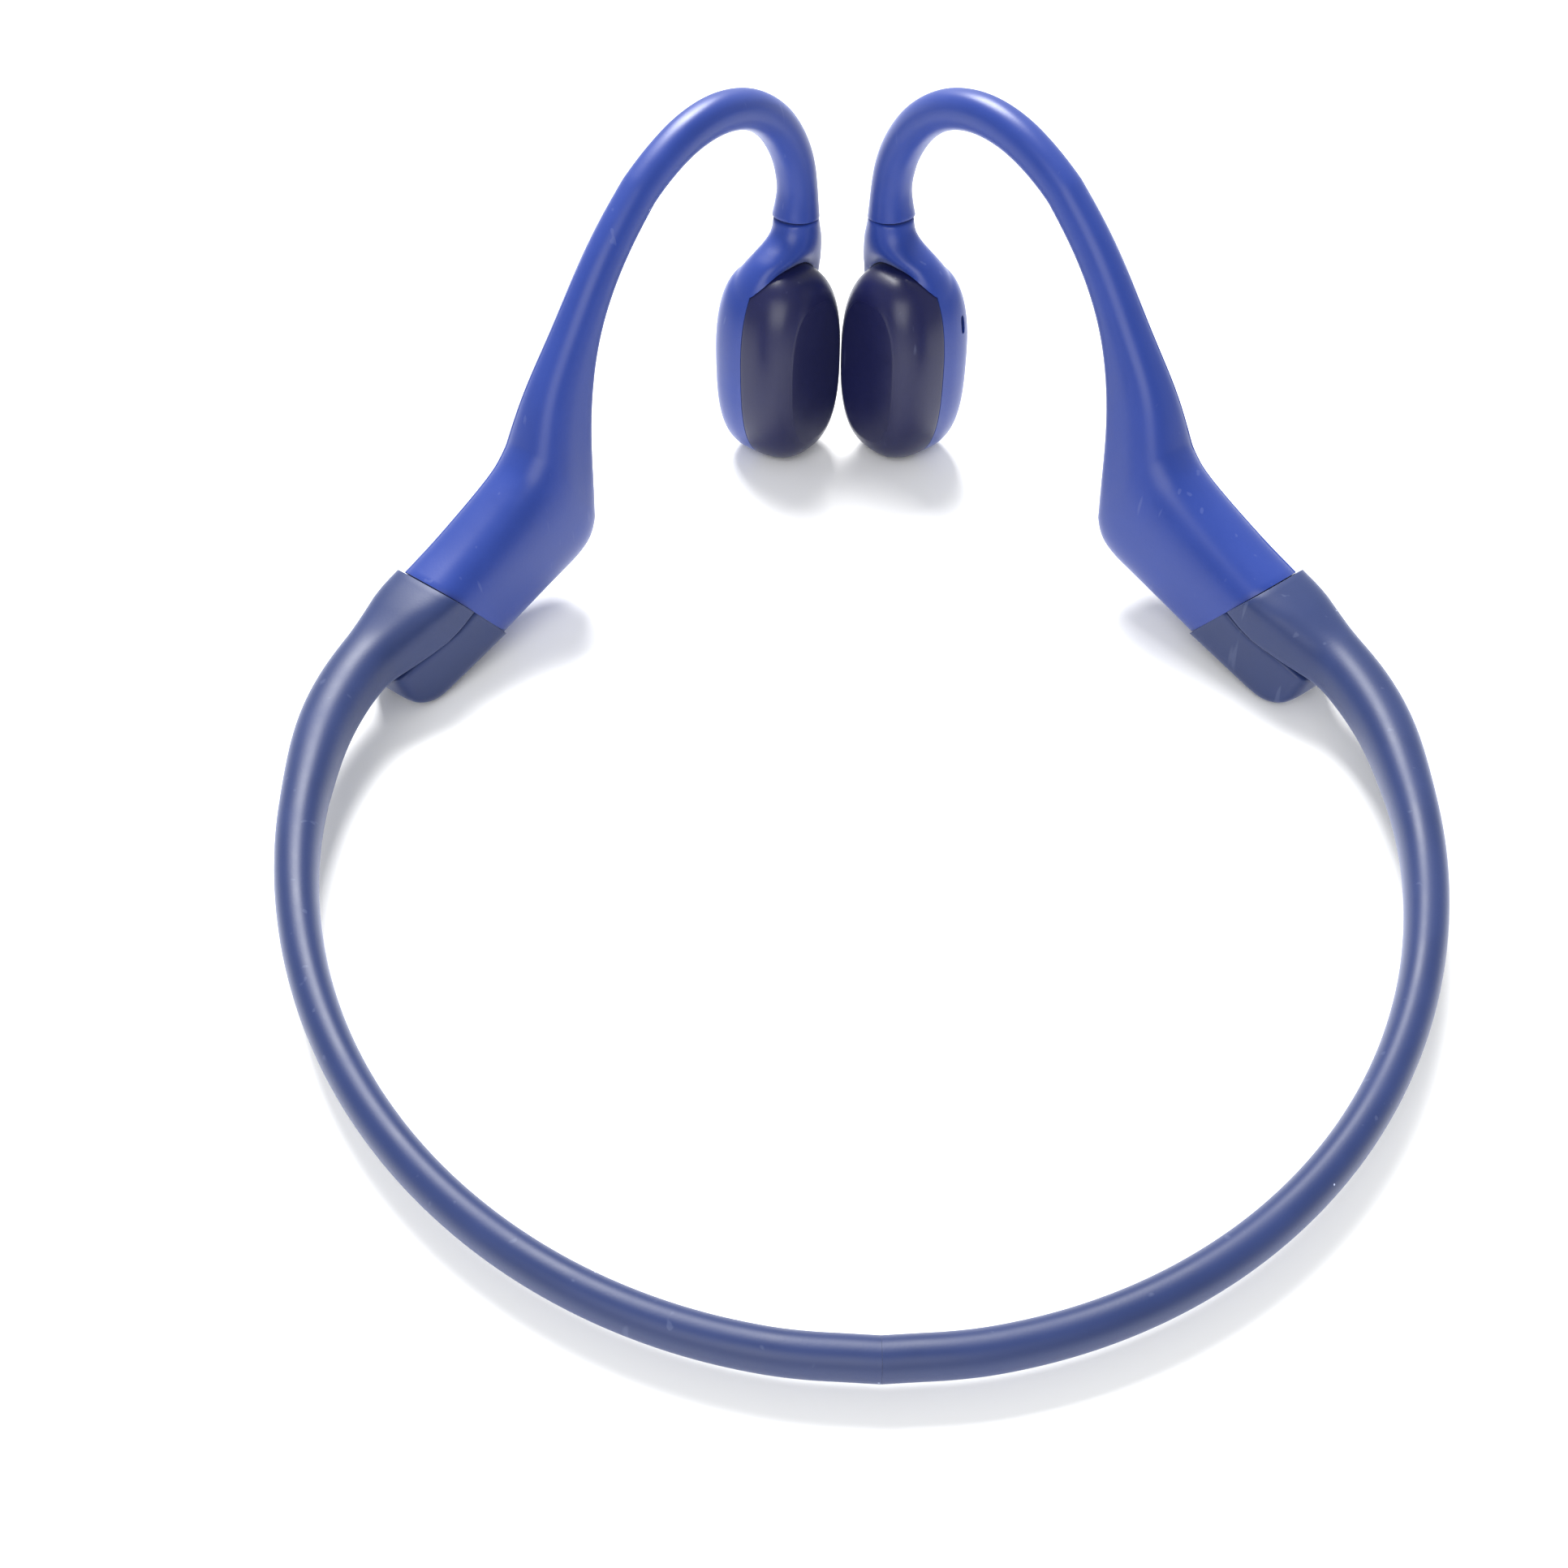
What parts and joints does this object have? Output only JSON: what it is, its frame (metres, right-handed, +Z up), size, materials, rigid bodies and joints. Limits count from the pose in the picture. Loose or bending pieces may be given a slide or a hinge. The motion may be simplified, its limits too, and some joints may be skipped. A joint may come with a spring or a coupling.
{
  "type": "bone conduction headphones",
  "caption": "Open-ear headphones: a sprung wire band behind the neck, boxed electronics below each ear, ear hooks, and vibrating pods that press on the cheekbones.",
  "frame": {"origin": "middle of the overall box, on the surface the headphones stand on", "axes": "+X towards the wearer's right, +Y forward from the back of the neck towards the pods, +Z up"},
  "size_m": [0.1108, 0.1348, 0.048],
  "materials": {
    "bright_blue_silicone": "satin, soft touch",
    "slate_blue_silicone": "satin, soft touch",
    "navy_pad_silicone": "satin, soft touch",
    "titanium_wire": "drawn titanium wire",
    "cable_jacket": "matte jacket",
    "copper_winding": "enamelled copper",
    "plated_steel": "plated",
    "gold_plating": "gold plated",
    "nickelled_magnet": "nickel plated",
    "green_board": "solder mask",
    "black_plastic": "satin",
    "grey_nylon": "glass filled nylon",
    "cell_film": "aluminised film",
    "frosted_light_pipe": "frosted"
  },
  "bodies": {
    "band": {"band_sleeve_centre": "slate_blue_silicone", "band_spring_wire": "titanium_wire", "band_cable": "cable_jacket"},
    "right_arm": {"band_sleeve_right": "slate_blue_silicone", "hook_cover_right": "bright_blue_silicone", "end_cap_right": "slate_blue_silicone", "pod_shell_right": "bright_blue_silicone", "face_pad_right": "navy_pad_silicone", "hook_wire_right": "titanium_wire", "hook_cable_right": "cable_jacket", "box_chassis_right": "grey_nylon", "transducer_frame_right": "grey_nylon", "transducer_magnet_right": "nickelled_magnet", "transducer_yoke_right": "plated_steel", "vibration_plate_right": "plated_steel", "voice_coil_right": "copper_winding", "main_board": "green_board", "processor_shield": "plated_steel", "aerial": "grey_nylon", "volume_down_switch": "black_plastic", "volume_up_switch": "black_plastic", "status_light_pipe": "frosted_light_pipe", "charging_port": "black_plastic", "charging_contact_front": "gold_plating", "charging_contact_rear": "gold_plating", "charging_magnet": "nickelled_magnet", "microphone": "plated_steel"},
    "left_arm": {"band_sleeve_left": "slate_blue_silicone", "hook_cover_left": "bright_blue_silicone", "end_cap_left": "slate_blue_silicone", "pod_shell_left": "bright_blue_silicone", "face_pad_left": "navy_pad_silicone", "hook_wire_left": "titanium_wire", "hook_cable_left": "cable_jacket", "box_chassis_left": "grey_nylon", "transducer_frame_left": "grey_nylon", "transducer_magnet_left": "nickelled_magnet", "transducer_yoke_left": "plated_steel", "vibration_plate_left": "plated_steel", "voice_coil_left": "copper_winding", "battery": "cell_film", "battery_board": "green_board", "multifunction_board": "green_board", "multifunction_switch": "black_plastic"},
    "volume_up": {"volume_up_button": "black_plastic"},
    "volume_down": {"volume_down_button": "black_plastic"},
    "multifunction_key": {"multifunction_button": "bright_blue_silicone"}
  },
  "joints": [
    {"name": "right_arm_flex", "type": "hinge", "parent": "band", "child": "right_arm", "pos_m": [0, -0.06594, 0.0032], "axis": [0, 0, -1], "range_deg": [0, 30], "stiffness_Nm_per_rad": 0.17, "deforming": ["band_sleeve_centre", "band_spring_wire", "band_cable"]},
    {"name": "left_arm_flex", "type": "hinge", "parent": "band", "child": "left_arm", "pos_m": [0, -0.06594, 0.0032], "axis": [0, 0, 1], "range_deg": [0, 30], "stiffness_Nm_per_rad": 0.17, "deforming": ["band_sleeve_centre", "band_spring_wire", "band_cable"]},
    {"name": "volume_up_press", "type": "slide", "parent": "right_arm", "child": "volume_up", "axis": [0.1593, -0.204, 0.9659], "range_m": [0, 0.0004], "stiffness_N_per_m": 3000},
    {"name": "volume_down_press", "type": "slide", "parent": "right_arm", "child": "volume_down", "axis": [0.1593, -0.204, 0.9659], "range_m": [0, 0.0004], "stiffness_N_per_m": 3000},
    {"name": "multifunction_press", "type": "slide", "parent": "left_arm", "child": "multifunction_key", "axis": [0.788, -0.6157, 0], "range_m": [0, 0.0004], "stiffness_N_per_m": 3000}
  ]
}
